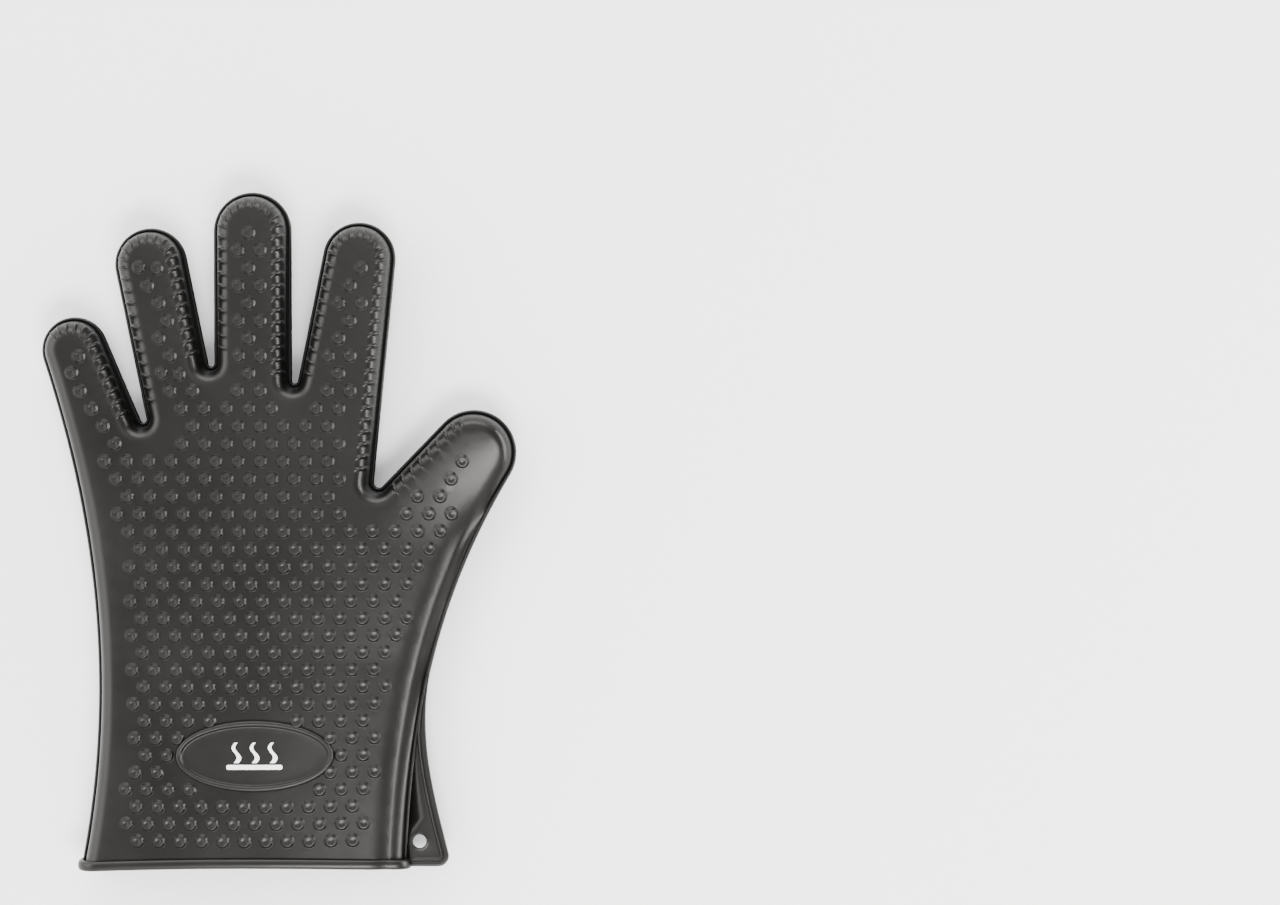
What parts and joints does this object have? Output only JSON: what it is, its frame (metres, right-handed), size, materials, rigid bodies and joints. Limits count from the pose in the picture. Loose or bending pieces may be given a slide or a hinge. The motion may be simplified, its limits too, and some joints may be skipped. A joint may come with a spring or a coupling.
{
  "type": "heat resistant glove",
  "caption": "Five-finger heat resistant silicone glove with raised grip dots, ribbed finger edges, oval cuff badge, rolled mouth lip and a hang tab; it flexes at the wrist and fingers.",
  "frame": {"origin": "under the middle of the glove's outline, on the surface it lies on", "axes": "+Y from the cuff to the fingertips, +X towards the thumb, +Z out of the upper face"},
  "size_m": [0.223, 0.3194, 0.029],
  "materials": {
    "glove_skin": "satin moulded silicone, charcoal black",
    "fold_skin": "satin moulded silicone where the glove flexes",
    "badge": "satin silicone, slightly smoother than the skin",
    "emblem": "white silicone ink, satin"
  },
  "bodies": {
    "cuff": {"back_badge": "badge", "back_emblem": "emblem", "cuff_back_wall": "glove_skin", "cuff_front_wall": "glove_skin", "cuff_lip": "glove_skin", "front_badge": "badge", "front_emblem": "emblem", "hang_tab": "glove_skin", "wrist_fold": "fold_skin"},
    "palm": {"index_knuckle_fold": "fold_skin", "middle_knuckle_fold": "fold_skin", "palm_back_wall": "glove_skin", "palm_front_wall": "glove_skin", "pinky_knuckle_fold": "fold_skin", "ring_knuckle_fold": "fold_skin", "thumb_knuckle_fold": "fold_skin"},
    "pinky_base": {"pinky_base_sleeve": "glove_skin", "pinky_middle_fold": "fold_skin"},
    "pinky_tip": {"pinky_tip_sleeve": "glove_skin"},
    "ring_base": {"ring_base_sleeve": "glove_skin", "ring_middle_fold": "fold_skin"},
    "ring_tip": {"ring_tip_sleeve": "glove_skin"},
    "middle_base": {"middle_base_sleeve": "glove_skin", "middle_middle_fold": "fold_skin"},
    "middle_tip": {"middle_tip_sleeve": "glove_skin"},
    "index_base": {"index_base_sleeve": "glove_skin", "index_middle_fold": "fold_skin"},
    "index_tip": {"index_tip_sleeve": "glove_skin"},
    "thumb_base": {"thumb_base_sleeve": "glove_skin", "thumb_middle_fold": "fold_skin"},
    "thumb_tip": {"thumb_tip_sleeve": "glove_skin"}
  },
  "joints": [
    {"name": "wrist_flex", "type": "hinge", "parent": "cuff", "child": "palm", "pos_m": [0, -0.049, 0.0145], "axis": [1, 0, 0], "range_deg": [0, 35], "stiffness_Nm_per_rad": 1.2, "deforming": ["wrist_fold"]},
    {"name": "pinky_knuckle_flex", "type": "hinge", "parent": "palm", "child": "pinky_base", "pos_m": [-0.08437, 0.0545, 0.0145], "axis": [0.9367, 0.3502, 0], "range_deg": [0, 45], "stiffness_Nm_per_rad": 0.12, "deforming": ["pinky_knuckle_fold"]},
    {"name": "pinky_tip_flex", "type": "hinge", "parent": "pinky_base", "child": "pinky_tip", "pos_m": [-0.09099, 0.07221, 0.0145], "axis": [0.9367, 0.3502, 0], "range_deg": [0, 45], "stiffness_Nm_per_rad": 0.06, "deforming": ["pinky_middle_fold"]},
    {"name": "ring_knuckle_flex", "type": "hinge", "parent": "palm", "child": "ring_base", "pos_m": [-0.05171, 0.08477, 0.0145], "axis": [0.9794, 0.2021, 0], "range_deg": [0, 50], "stiffness_Nm_per_rad": 0.12, "deforming": ["ring_knuckle_fold"]},
    {"name": "ring_tip_flex", "type": "hinge", "parent": "ring_base", "child": "ring_tip", "pos_m": [-0.05699, 0.11033, 0.0145], "axis": [0.9794, 0.2021, 0], "range_deg": [0, 60], "stiffness_Nm_per_rad": 0.06, "deforming": ["ring_middle_fold"]},
    {"name": "middle_knuckle_flex", "type": "hinge", "parent": "palm", "child": "middle_base", "pos_m": [-0.0123, 0.0886, 0.0145], "axis": [1, 0.0038, 0], "range_deg": [0, 50], "stiffness_Nm_per_rad": 0.12, "deforming": ["middle_knuckle_fold"]},
    {"name": "middle_tip_flex", "type": "hinge", "parent": "middle_base", "child": "middle_tip", "pos_m": [-0.01242, 0.1196, 0.0145], "axis": [1, 0.0038, 0], "range_deg": [0, 60], "stiffness_Nm_per_rad": 0.06, "deforming": ["middle_middle_fold"]},
    {"name": "index_knuckle_flex", "type": "hinge", "parent": "palm", "child": "index_base", "pos_m": [0.03023, 0.07864, 0.0145], "axis": [0.9893, -0.1461, 0], "range_deg": [0, 50], "stiffness_Nm_per_rad": 0.12, "deforming": ["index_knuckle_fold"]},
    {"name": "index_tip_flex", "type": "hinge", "parent": "index_base", "child": "index_tip", "pos_m": [0.03468, 0.10872, 0.0145], "axis": [0.9893, -0.1461, 0], "range_deg": [0, 60], "stiffness_Nm_per_rad": 0.06, "deforming": ["index_middle_fold"]},
    {"name": "thumb_knuckle_flex", "type": "hinge", "parent": "palm", "child": "thumb_base", "pos_m": [0.07305, 0.01334, 0.0145], "axis": [0.7947, -0.607, 0], "range_deg": [0, 35], "stiffness_Nm_per_rad": 0.12, "deforming": ["thumb_knuckle_fold"]},
    {"name": "thumb_tip_flex", "type": "hinge", "parent": "thumb_base", "child": "thumb_tip", "pos_m": [0.08373, 0.02733, 0.0145], "axis": [0.7947, -0.607, 0], "range_deg": [0, 40], "stiffness_Nm_per_rad": 0.06, "deforming": ["thumb_middle_fold"]}
  ]
}
